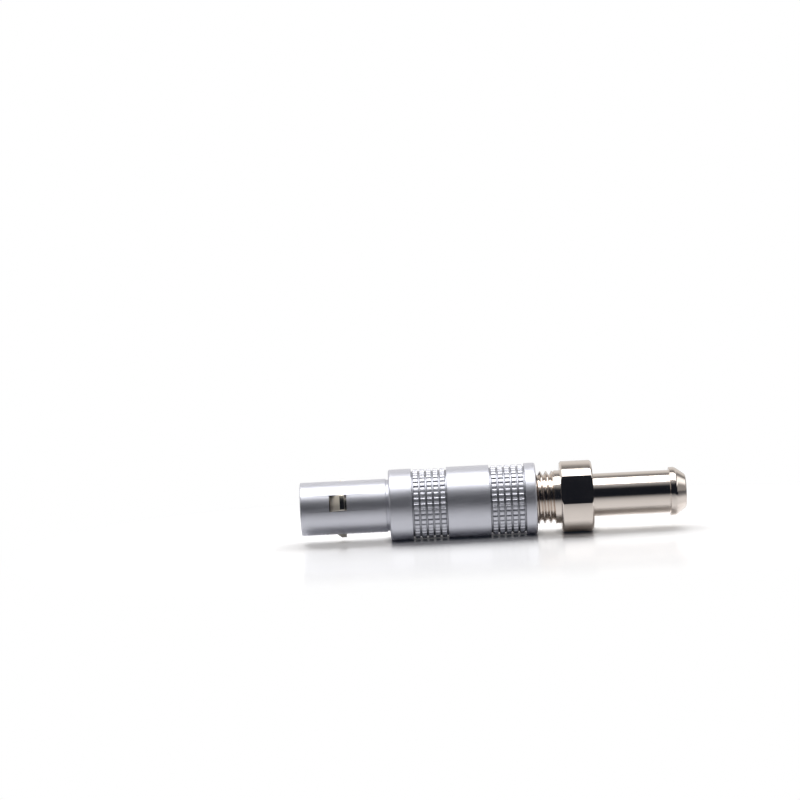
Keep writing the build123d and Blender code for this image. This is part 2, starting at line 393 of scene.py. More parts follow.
@dataclass(frozen=True)
class KnurledFinish(TurnedFinish):
    """A turned finish with painted shade down in the grooves of a knurl."""

    bands: tuple[Stretch, ...] = ()
    groove_low: float = 5.50 * MM
    groove_high: float = 5.80 * MM
    inside: float = 5.30 * MM
    groove_shade_share: float = 0.60

    def tone(self, graph: Graph, place: Socket, clouds: Signal) -> Socket:
        """Colour over the surface, with painted shade down in the grooves.

        Args:
            graph: the material's graph.
            place: place on the object.
            clouds: soft noise.

        Returns:
            The colour's socket.
        """
        x = graph.axes(place)[0]
        radius = graph.signal("ShaderNodeVectorMath", "Value", {"operation": "LENGTH"},
                              {0: graph.stretched(place, (0.0, 1.0, 1.0))})
        banded = sum((band.share(x) for band in self.bands), Signal.zero(graph))
        outside = radius.step(self.inside - FINE, self.inside)
        # painted shade: the colour is darker down in the knurl's grooves, where light reaches less
        groove = banded * outside * (1.0 - radius.step(self.groove_low, self.groove_high))
        plain = super().tone(graph, place, clouds)
        return graph.mixed(groove, plain, shaded(self.colour, self.groove_shade_share))


@dataclass(frozen=True)
class GroundFinish(TurnedFinish):
    """A ground finish that is polished from one place along the axis on."""

    polish_x: float = 0.0
    polish_blend: float = 0.04 * MM
    polished: float = 0.12

    def gloss(self, graph: Graph, place: Socket) -> object:
        """Roughness before wear: ground in front, polished behind.

        Args:
            graph: the material's graph.
            place: place on the object.

        Returns:
            The roughness as a signal.
        """
        x = graph.axes(place)[0]
        share = x.step(self.polish_x - self.polish_blend, self.polish_x + self.polish_blend)
        return self.roughness + share * (self.polished - self.roughness)


class Finish(Enum):
    """The finishes of the plug's surfaces."""

    SATIN_CHROME = KnurledFinish(
        Slot.SATIN_CHROME, (0.64, 0.645, 0.70), 0.40, metallic=0.92, line_roughness=0.03,
        grain_depth=0.0003 * MM,
        bands=(Stretch(18.82 * MM, 24.83 * MM), Stretch(31.97 * MM, 37.98 * MM)))
    BRIGHT_NICKEL = TurnedFinish(Slot.BRIGHT_NICKEL, (0.73, 0.66, 0.605), 0.13, line_depth=0.0002 * MM)
    NICKEL_BRASS = TurnedFinish(Slot.NICKEL_BRASS, (0.68, 0.65, 0.60), 0.25)
    SPRING_NICKEL = TurnedFinish(Slot.SPRING_NICKEL, (0.70, 0.65, 0.58), 0.20, line_depth=0.0002 * MM)
    GROUND_NICKEL = GroundFinish(Slot.SPRING_NICKEL, (0.72, 0.67, 0.58), 0.45, line_depth=0.0,
                                 polish_x=6.72 * MM)
    GOLD_PLATING = TurnedFinish(Slot.GOLD_PLATING, (0.90, 0.66, 0.28), 0.18, line_depth=0.0002 * MM)
    WHITE_INSULATOR = TurnedFinish(Slot.WHITE_INSULATOR, (0.88, 0.88, 0.86), 0.45, metallic=0.0,
                                   line_pitch=0.15 * MM, line_depth=0.002 * MM, cloud_colour=0.02)


class Workshop:
    """Holds the materials, and dresses finished pieces."""

    def __init__(self) -> None:
        """Make every finish once."""
        self.materials = {finish: finish.value.material(finish.name.lower()) for finish in Finish}

    def coat(self, piece: Piece, finish: Finish) -> None:
        """Give a piece its material.

        Args:
            piece: the object.
            finish: its finish.
        """
        piece.data.materials.clear()
        piece.data.materials.append(self.materials[finish])
        log.info("%s: %d faces, %s", piece.name, len(piece.data.polygons), finish.name.lower())

    def dress(self, piece: Piece, finish: Finish, body: Body, node: str) -> None:
        """Give a new piece its finish, its body and the node that it stands for.

        Args:
            piece: the finished object.
            finish: its finish.
            body: the body that it moves with.
            node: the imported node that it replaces.
        """
        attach(piece, body.value)
        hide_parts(node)
        self.coat(piece, finish)


@dataclass(frozen=True)
class Corner:
    """A corner of a turned outline: its place, its radius and how much of it is rounded off."""

    x: float
    r: float
    rounding: float = 0.0


def rounded(corners: list[Corner], closed: bool = True, steps: int = 3, lead: float = 1.2) -> list[Pair]:
    """Round the corners of an outline, with a point on each side that keeps the flats flat.

    Args:
        corners: the outline.
        closed: whether the last corner joins the first.
        steps: how many facets a round has.
        lead: how far off those side points are, as a share of the round.

    Returns:
        Points as (x, radius).
    """
    most = 0.4
    points: list[Pair] = []
    count = len(corners)
    for i, corner in enumerate(corners):
        here = np.array((corner.x, corner.r))
        at_end = not closed and i in (0, count - 1)
        if corner.rounding == 0.0 or at_end:
            points.append((corner.x, corner.r))
            continue
        before = corners[i - 1]
        after = corners[(i + 1) % count]
        back = np.array((before.x, before.r)) - here
        ahead = np.array((after.x, after.r)) - here
        reach = min(corner.rounding, most * np.linalg.norm(back), most * np.linalg.norm(ahead))
        back /= np.linalg.norm(back)
        ahead /= np.linalg.norm(ahead)
        points.append(tuple(here + lead * reach * back))
        for k in range(steps + 1):
            t = k / steps
            spot = here + reach * ((1 - t) ** 2 * back + t ** 2 * ahead)
            points.append(tuple(spot))
        points.append(tuple(here + lead * reach * ahead))
    return points


class Turning:
    """Rings of points round the axis, which make a mesh when they are joined."""

    def __init__(self, degrees: np.ndarray) -> None:
        """Take the angles of the points of each ring, in degrees."""
        self.angles = np.radians(degrees)
        self.rings: list[tuple[np.ndarray, np.ndarray]] = []

    def ring(self, x: object, r: object) -> None:
        """Add one ring, from a place along the axis and a radius, or one of each for each angle."""
        ones = np.ones(len(self.angles))
        self.rings.append((ones * x, ones * r))

    def outline(self, corners: list[Corner], closed: bool = False) -> None:
        """Add a ring for each point of a rounded outline."""
        for x, r in rounded(corners, closed):
            self.ring(x, r)

    def fill(self, mesh: Mesh, closed: bool) -> None:
        """Put the rings and the faces between them into a mesh.

        Args:
            mesh: where they go.
            closed: whether the last ring joins the first.
        """
        count = len(self.angles)
        cosine, sine = np.cos(self.angles), np.sin(self.angles)
        rows = [[mesh.verts.new((x[j], r[j] * cosine[j], r[j] * sine[j])) for j in range(count)]
                for x, r in self.rings]
        pairs = list(zip(rows, rows[1:]))
        if closed:
            pairs.append((rows[-1], rows[0]))
        for low, high in pairs:
            for j in range(count):
                k = (j + 1) % count
                mesh.faces.new((low[j], low[k], high[k], high[j]))


def settle(mesh: Mesh) -> None:
    """Merge points that coincide, drop faces with no area and turn all faces outwards.

    Args:
        mesh: the mesh.
    """
    bmesh.ops.remove_doubles(mesh, verts=mesh.verts, dist=MERGE)
    bmesh.ops.dissolve_degenerate(mesh, edges=mesh.edges, dist=MERGE)
    bmesh.ops.recalc_face_normals(mesh, faces=mesh.faces)


def shown(name: str, mesh: Mesh, sharp: float = 40.0) -> Piece:
    """Make an object of a mesh, with smooth shading and sharp edges.

    Args:
        name: the object's name.
        mesh: the mesh, which is freed.
        sharp: edges that turn by more than this many degrees stay sharp.

    Returns:
        The object, linked to the scene.
    """
    data = bpy.data.meshes.new(name)
    mesh.to_mesh(data)
    mesh.free()
    data.shade_smooth()
    data.set_sharp_from_angle(angle=math.radians(sharp))
    made = bpy.data.objects.new(name, data)
    bpy.context.scene.collection.objects.link(made)
    return made


def prism(outline: list[Pair], low: float, high: float, angle: float) -> Mesh:
    """A prism that stands on a radius.

    Args:
        outline: points as (x, distance across).
        low: radius where it starts.
        high: radius where it ends.
        angle: its angle round the axis, in degrees.

    Returns:
        The prism.
    """
    mesh = bmesh.new()
    foot = [mesh.verts.new((x, low, across)) for x, across in outline]
    head = [mesh.verts.new((x, high, across)) for x, across in outline]
    mesh.faces.new(foot)
    mesh.faces.new(list(reversed(head)))
    for i in range(len(outline)):
        k = (i + 1) % len(outline)
        mesh.faces.new((foot[i], head[i], head[k], foot[k]))
    bmesh.ops.recalc_face_normals(mesh, faces=mesh.faces)
    mesh.transform(Matrix.Rotation(math.radians(angle), 4, "X"))
    return mesh


def cut(piece: Piece, cutters: list[Mesh]) -> Mesh:
    """Cut prisms out of a piece.

    Args:
        piece: the object to cut, which is used up.
        cutters: the prisms, which are used up.

    Returns:
        What is left, as a mesh.
    """
    joined = bmesh.new()
    for cutter in cutters:
        part = bpy.data.meshes.new("cutter_part")
        cutter.to_mesh(part)
        joined.from_mesh(part)
        bpy.data.meshes.remove(part)
        cutter.free()
    tool = shown("cutter", joined)
    boolean = piece.modifiers.new("cut", "BOOLEAN")
    boolean.operation = "DIFFERENCE"
    boolean.solver = "EXACT"
    boolean.object = tool
    bpy.context.view_layer.update()
    depsgraph = bpy.context.evaluated_depsgraph_get()
    data = bpy.data.meshes.new_from_object(piece.evaluated_get(depsgraph))
    mesh = bmesh.new()
    mesh.from_mesh(data)
    bpy.data.meshes.remove(data)
    bpy.data.objects.remove(tool)
    bpy.data.objects.remove(piece)
    return mesh


def soften(mesh: Mesh, low: float, high: float, degrees: float, width: float) -> None:
    """Bevel the sharp edges of one stretch of a piece.

    Args:
        mesh: the mesh.
        low: where the stretch starts along the axis.
        high: where it ends.
        degrees: edges that turn by more than this are bevelled.
        width: how much comes off each side of the edge.
    """
    limit = math.radians(degrees)
    edges = [edge for edge in mesh.edges
             if len(edge.link_faces) == 2 and edge.calc_face_angle(0.0) > limit
             and all(low < vert.co.x < high for vert in edge.verts)]
    bmesh.ops.bevel(mesh, geom=edges, offset=width, segments=2, profile=0.5, affect="EDGES",
                    clamp_overlap=True)


def spaced(count: int, start: float) -> list[float]:
    """Evenly spaced angles round the axis, in degrees."""
    return [start + 360.0 * i / count for i in range(count)]


@dataclass
class Knurl:
    """The waffle knurl: pads between grooves that run round the grip and lengthways."""

    rows: int = 38
    pads: int = 5
    pitch: float = 1.13 * MM
    groove: float = 0.36 * MM
    drop: float = 0.17 * MM
    height: float = 0.33 * MM
    vee_depth: float = 0.15 * MM
    vee_half: float = 0.165 * MM
    slant: float = 0.05 * MM
    crown: float = 0.02 * MM
    edge: float = 0.04 * MM
    vee_spots: tuple[float, ...] = (0.0, 0.12, 0.85, 1.2)
    vee_shares: tuple[float, ...] = (1.0, 0.94, 0.12, 0.0)
    mid_share: float = 0.55
    rim: tuple[Pair, ...] = ((-1.5, 0.0), (-1.0, 0.0), (-0.2, 0.4), (0.0, 1.0))
    pad_spots: tuple[float, ...] = (-0.9, -0.75, -0.4, 0.0, 0.4, 0.75, 0.9)

    def length(self) -> float:
        """Length of one band."""
        return self.pads * self.pitch + self.groove

    def degrees(self, radius: float) -> np.ndarray:
        """Angles at which the grip's rings have their points.

        Args:
            radius: of the grip.

        Returns:
            Angles in degrees.
        """
        half = math.pi * radius / self.rows
        middle = self.mid_share * (half + self.vee_half)
        spots = (*(share * self.vee_half for share in self.vee_spots), middle)
        offsets = sorted({s * way for s in spots for way in (-1, 1)} | {half})
        return np.array([LATCH_ANGLE + 360.0 * i / self.rows + math.degrees(o / radius)
                         for i in range(self.rows) for o in offsets])

    def across(self, degrees: np.ndarray, radius: float) -> tuple[np.ndarray, np.ndarray]:
        """Depth of the lengthways grooves, and the pads' crown across.

        Args:
            degrees: angles of the points.
            radius: of the grip.

        Returns:
            Groove depth and crown, one of each for each angle.
        """
        row = 360.0 / self.rows
        offset = (degrees - LATCH_ANGLE + row / 2) % row - row / 2
        gap = np.abs(np.radians(offset)) * radius
        half = math.pi * radius / self.rows
        depth = self.vee_depth * np.interp(gap / self.vee_half, self.vee_spots, self.vee_shares)
        crown = self.crown * np.clip((half - gap) / (half - self.vee_half), 0.0, 1.0) ** 2
        return depth, crown

    def cut_band(self, turning: Turning, start: float, radius: float) -> None:
        """Add the rings of one band to the grip.

        Args:
            turning: the grip.
            start: where the band starts.
            radius: of the smooth grip.
        """
        pad_r = radius - self.drop
        floor_r = pad_r - self.height
        vees, crown = self.across(np.degrees(turning.angles), radius)
        half_pad = (self.pitch - self.groove) / 2
        half_edge = 0.5 * self.edge
        foot = self.slant + half_edge
        foot_r = floor_r + half_edge
        brink_r = pad_r - np.maximum(vees, 1.5 * self.edge) - crown
        for before, below in self.rim:
            turning.ring(start + before * self.edge, radius - below * self.edge)
        turning.ring(start + self.slant, foot_r)
        turning.ring(start + foot, floor_r)
        for i in range(self.pads):
            pad_x = start + self.groove + i * self.pitch
            centre = pad_x + half_pad
            turning.ring(pad_x - foot, floor_r)
            turning.ring(pad_x - self.slant, foot_r)
            turning.ring(pad_x, brink_r)
            for share in self.pad_spots:
                ends = self.crown * share * share
                turning.ring(centre + share * half_pad, pad_r - vees - crown - ends)
            turning.ring(pad_x + 2 * half_pad, brink_r)
            turning.ring(pad_x + 2 * half_pad + self.slant, foot_r)
            turning.ring(pad_x + 2 * half_pad + foot, floor_r)
        end = start + self.length()
        turning.ring(end - foot, floor_r)
        turning.ring(end - self.slant, foot_r)
        for before, below in reversed(self.rim):
            turning.ring(end - before * self.edge, radius - below * self.edge)


@dataclass
class OuterShell:
    """The nose with its latch windows, and the knurled grip, turned from one bar."""

    grip_end: float
    grip_r: float
    nose_r: float = 4.5 * MM
    nose_bore_r: float = 3.9 * MM
    nose_round: float = 0.2 * MM
    grip_x: float = 15.0 * MM
    undercut_len: float = 0.5 * MM
    undercut: float = 0.15 * MM
    front_round: float = 0.35 * MM
    rear_round: float = 0.55 * MM
    grip_bore_r: float = 5.1 * MM
    shoulder_x: float = 17.0 * MM
    front_land: float = 3.82 * MM
    rear_land: float = 1.82 * MM
    window_x: float = 4.9 * MM
    window_len: float = 2.95 * MM
    window_width: float = 2.8 * MM
    window_corner: float = 0.2 * MM
    cut_low: float = 0.4 * MM
    cut_high: float = 0.5 * MM
    knurl: Knurl = field(default_factory=Knurl)

    def window_outline(self) -> list[Pair]:
        """Outline of one window, with rounded corners.

        Returns:
            Points as (x, distance across).
        """
        low, high = self.window_x, self.window_x + self.window_len
        half = self.window_width / 2
        spots = ((low, -half), (high, -half), (high, half), (low, half))
        return rounded([Corner(*spot, self.window_corner) for spot in spots], steps=4)

    def build(self) -> Piece:
        """Build the shell.

        Returns:
            The finished object.
        """
        turning = Turning(self.knurl.degrees(self.grip_r))
        undercut_x = self.grip_x - self.undercut_len
        undercut_r = self.nose_r - self.undercut
        band_len = self.knurl.length()
        turning.outline([
            Corner(self.shoulder_x, self.nose_bore_r),
            Corner(0.0, self.nose_bore_r, self.nose_round),
            Corner(0.0, self.nose_r, self.nose_round),
            Corner(undercut_x, self.nose_r, FINE),
            Corner(undercut_x, undercut_r, FINE),
            Corner(self.grip_x, undercut_r, FINE),
            Corner(self.grip_x, self.grip_r, self.front_round),
            Corner(self.grip_x + self.front_land / 2, self.grip_r),
        ])
        self.knurl.cut_band(turning, self.grip_x + self.front_land, self.grip_r)
        self.knurl.cut_band(turning, self.grip_end - self.rear_land - band_len, self.grip_r)
        turning.outline([
            Corner(self.grip_end - self.rear_land / 2, self.grip_r),
            Corner(self.grip_end, self.grip_r, self.rear_round),
            Corner(self.grip_end, self.grip_bore_r, 3 * FINE),
            Corner(self.shoulder_x, self.grip_bore_r, FINE),
            Corner(self.shoulder_x, self.nose_bore_r + FINE),
        ])
        mesh = bmesh.new()
        turning.fill(mesh, closed=True)
        settle(mesh)
        whole = shown("outer_shell_whole", mesh)
        outline = self.window_outline()
        cutters = [prism(outline, self.nose_bore_r - self.cut_low, self.nose_r + self.cut_high, angle)
                   for angle in spaced(LATCH_COUNT, LATCH_ANGLE)]
        mesh = cut(whole, cutters)
        soften(mesh, self.window_x - FINE, self.window_x + self.window_len + FINE, CORNER_ANGLE, FINE)
        return shown("knurled_shell", mesh)


@dataclass
class Latch:
    """The springy sleeve whose three fingers carry the teeth."""

    tip_x: float = 3.4 * MM
    outer_r: float = 3.85 * MM
    bore_r: float = 3.35 * MM
    flange_x: float = 18.6 * MM
    flange_end: float = 19.8 * MM
    flange_r: float = 5.0 * MM
    neck_r: float = 4.2 * MM
    neck_end: float = 23.8 * MM
    slot_width: float = 3.4 * MM
    slot_end: float = 14.5 * MM
    tooth_x: float = 5.05 * MM
    tooth_end: float = 7.6 * MM
    tooth_lean: float = 0.1 * MM
    crest_len: float = 0.75 * MM
    crest_r: float = 5.1 * MM
    tooth_width: float = 2.68 * MM
    tooth_round: float = 0.08 * MM
    tooth_lines: int = 17
    margin: float = 1.0 * MM
    press_r: float = 3.3 * MM
    pressed: float = 0.25

    def slot_outline(self) -> list[Pair]:
        """Outline of the slot between two fingers, open at the front and round at its end.

        Returns:
            Points as (x, distance across).
        """
        half = self.slot_width / 2
        centre = self.slot_end - half
        arc = [math.radians(a) for a in range(-90, 91, 10)]
        end = [(centre + half * math.cos(a), half * math.sin(a)) for a in arc]
        front = self.tip_x - self.margin
        return [(front, half), (front, -half), *end]

    def build_fingers(self) -> Piece:
        """Build the sleeve without its teeth.

        Returns:
            The finished object.
        """
        turning = Turning(np.arange(0.0, 360.0, RING_STEP))
        turning.outline([
            Corner(self.tip_x, self.bore_r, FINE),
            Corner(self.tip_x, self.outer_r, 4 * FINE),
            Corner(self.flange_x, self.outer_r, FINE),
            Corner(self.flange_x, self.flange_r, FINE),
            Corner(self.flange_end, self.flange_r, FINE),
            Corner(self.flange_end, self.neck_r, FINE),
            Corner(self.neck_end, self.neck_r, FINE),
            Corner(self.neck_end, self.bore_r, FINE),
        ], closed=True)
        mesh = bmesh.new()
        turning.fill(mesh, closed=True)
        settle(mesh)
        whole = shown("latch_whole", mesh)
        outline = self.slot_outline()
        cutters = [prism(outline, self.margin, self.outer_r + self.margin, angle)
                   for angle in spaced(LATCH_COUNT, LATCH_ANGLE + 180.0 / LATCH_COUNT)]
        return shown("latch_fingers", cut(whole, cutters))

    def build_tooth(self, name: str, angle: float) -> Piece:
        """Build one tooth: a ramp to the front, a turned crest and a steep rear face.

        Args:
            name: the object's name.
            angle: its angle round the axis, in degrees.

        Returns:
            The finished object.
        """
        foot_r = (self.outer_r + self.bore_r) / 2
        crest_end = self.tooth_end - self.tooth_lean
        crest_x = crest_end - self.crest_len
        slope = (self.crest_r - self.outer_r) / (crest_x - self.tooth_x)
        outline = rounded([
            Corner(self.tooth_x - (self.outer_r - foot_r) / slope, foot_r),
            Corner(crest_x, self.crest_r, self.tooth_round),
            Corner(crest_end, self.crest_r, self.tooth_round),
            Corner(self.tooth_end, foot_r),
        ])
        half = self.tooth_width / 2
        sides = np.linspace(-half, half, self.tooth_lines)
        mesh = bmesh.new()
        rows = [[mesh.verts.new((x, math.sqrt(r * r - t * t), t)) for x, r in outline] for t in sides]
        count = len(outline)
        for low, high in zip(rows, rows[1:]):
            for i in range(count):
                k = (i + 1) % count
                mesh.faces.new((low[i], low[k], high[k], high[i]))
        mesh.faces.new(rows[0])
        mesh.faces.new(list(reversed(rows[-1])))
        settle(mesh)
        soften(mesh, 0.0, 1.0, CORNER_ANGLE, FINE)
        mesh.transform(Matrix.Rotation(math.radians(angle), 4, "X"))
        return shown(name, mesh)

    def press(self, tooth: Piece) -> None:
        """Give a tooth its own copy of its mesh.

        Args:
            tooth: the finished tooth.
        """
        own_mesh(tooth)


@dataclass
class ClampNut:
    """The nut with its thread, a collar with two flats and a barbed spigot."""

    start: float
    end: float
    collar_r: float
    crest_r: float = 4.45 * MM
    neck_r: float = 4.5 * MM
    pitch: float = 1.0 * MM
    thread_depth: float = 0.6 * MM
    thread_end: float = 42.95 * MM
    thread_shift: float = 0.15 * MM
    thread_round: float = 0.06
    thread_form: tuple[float, ...] = (0.0, 0.11, 0.15, 0.44, 0.48, 0.63, 0.67, 0.96, 1.0)
    thread_spots: tuple[float, ...] = (0.0, 0.055, 0.11, 0.15, 0.245, 0.345, 0.44, 0.48, 0.555, 0.63, 0.67,
                                       0.765, 0.865, 0.96)
    lead_in: float = 0.4 * MM
    run_out: float = 0.15 * MM
    collar_x: float = 43.9 * MM
    collar_end: float = 49.3 * MM
    chamfer: float = 0.3 * MM
    flat_r: float = 5.5 * MM
    flat_angle: float = 161.0
    spigot_r: float = 3.625 * MM
    spigot_end: float = 62.3 * MM
    barb_r: float = 4.1 * MM
    barb_len: float = 1.0 * MM
    tip_r: float = 2.75 * MM
    bore_r: float = 2.2 * MM
    cavity_r: float = 3.3 * MM
    cavity_end: float = 44.5 * MM
    cone_angle: float = 30.0
    mouth_step: float = 0.2 * MM
    edge_angle: float = 14.0
    edge_width: float = 0.04 * MM

    def flat_reach(self, degrees: np.ndarray) -> np.ndarray:
        """Radius at which each angle meets one of the two flats.

        Args:
            degrees: angles round the axis.

        Returns:
            Radii, large where an angle meets no flat.
        """
        least_cosine = 0.1
        offset = np.radians((degrees - self.flat_angle + 90.0) % 180.0 - 90.0)
        return self.flat_r / np.maximum(np.cos(offset), least_cosine)

    def degrees(self) -> np.ndarray:
        """Angles of the points, with those where the flats end.

        Returns:
            Sorted angles in degrees.
        """
        least_gap = 0.6
        radii = (self.collar_r, self.collar_r - self.chamfer)
        edges = [math.degrees(math.acos(self.flat_r / radius)) for radius in radii]
        special = sorted((self.flat_angle + turn + way * edge) % 360.0
                         for turn in (0.0, 180.0) for way in (-1, 1) for edge in edges)
        even = [a for a in np.arange(0.0, 360.0, RING_STEP) if min(abs(a - s) for s in special) > least_gap]
        return np.array(sorted([*even, *special]))

    def thread_radius(self, phase: np.ndarray) -> np.ndarray:
        """Radius of the thread along one pitch: crest, flank, root and flank.

        Args:
            phase: distance along the thread's axis from where a crest starts.

        Returns:
            One radius for each distance.
        """
        crest, root = self.crest_r, self.crest_r - self.thread_depth
        small = self.thread_round * self.thread_depth
        radii = (crest, crest, crest - small, root + small, root, root, root + small, crest - small, crest)
        return np.interp(phase % self.pitch, np.array(self.thread_form) * self.pitch, radii)

    def cut_thread(self, mesh: Mesh, angles: np.ndarray) -> np.ndarray:
        """Put the helical thread into a mesh, from the nut's front face to the neck.

        Args:
            mesh: where it goes.
            angles: of the points round the axis, in radians, from 0 up.

        Returns:
            The thread's radius at the front face, one for each angle.
        """
        p = self.pitch
        spots = np.array(self.thread_spots) * p
        per_turn = len(spots)
        turns = math.ceil((self.thread_end - self.start) / p) + 2
        lines = np.concatenate([spots + turn * p for turn in range(turns)])
        origin = self.start - p + self.thread_shift
        lead = p * angles / (2 * math.pi)
        x = np.clip(origin + lines[:, None] + lead[None, :], self.start, self.thread_end)
        r = self.thread_radius(x - origin - lead[None, :])
        fade = np.clip((self.thread_end - x) / self.run_out, 0.0, 1.0)
        r = self.crest_r - (self.crest_r - r) * fade
        r = np.minimum(r, self.crest_r - self.lead_in + (x - self.start))
        y, z = r * np.cos(angles), r * np.sin(angles)
        count = len(angles)
        rows = [[mesh.verts.new((x[k, j], y[k, j], z[k, j])) for j in range(count)]
                for k in range(len(lines))]
        for k in range(len(lines) - 1):
            for j in range(count - 1):
                mesh.faces.new((rows[k][j], rows[k][j + 1], rows[k + 1][j + 1], rows[k + 1][j]))
            if k + 1 + per_turn < len(lines):
                low, high = rows[k + per_turn][0], rows[k + 1 + per_turn][0]
                mesh.faces.new((rows[k][-1], low, high, rows[k + 1][-1]))
        return r[0]

    def collar(self, turning: Turning) -> None:
        """Add the rings of the chamfered collar, trimmed by its flats.

        Args:
            turning: the nut.
        """
        reach = self.flat_reach(np.degrees(turning.angles))
        face_r = self.collar_r - self.chamfer
        rim = np.minimum(self.collar_r, reach)
        inset = np.clip(rim - face_r, 0.0, None)
        turning.ring(self.collar_x, np.minimum(face_r, reach))
        turning.ring(self.collar_x + inset, rim)
        turning.ring(self.collar_end - inset, rim)
        turning.ring(self.collar_end, np.minimum(face_r, reach))

    def build(self) -> Piece:
        """Build the nut.

        Returns:
            The finished object.
        """
        mesh = bmesh.new()
        turning = Turning(self.degrees())
        front_r = self.cut_thread(mesh, turning.angles)
        slope = math.tan(math.radians(self.cone_angle))
        cone_end = self.cavity_end + (self.cavity_r - self.bore_r) / slope
        turning.outline([
            Corner(self.thread_end, self.crest_r),
            Corner(self.thread_end, self.neck_r, FINE),
            Corner(self.collar_x, self.neck_r, FINE),
            Corner(self.collar_x, self.flat_r - FINE),
        ])
        self.collar(turning)
        turning.outline([
            Corner(self.collar_end, self.flat_r - FINE),
            Corner(self.collar_end, self.spigot_r, FINE),
            Corner(self.spigot_end, self.spigot_r, FINE),
            Corner(self.spigot_end, self.barb_r, 3 * FINE),
            Corner(self.spigot_end + self.barb_len, self.barb_r, 6 * FINE),
            Corner(self.end, self.tip_r, 5 * FINE),
            Corner(self.end, self.bore_r, 2 * FINE),
            Corner(cone_end, self.bore_r, FINE),
            Corner(self.cavity_end, self.cavity_r, FINE),
            Corner(self.start, self.cavity_r, FINE),
            Corner(self.start, self.cavity_r + self.mouth_step),
        ])
        turning.ring(self.start, front_r)
        turning.fill(mesh, closed=False)
        settle(mesh)
        soften(mesh, self.collar_x - FINE, self.collar_end + FINE, self.edge_angle, self.edge_width)
        return shown("threaded_nut", mesh, sharp=35.0)


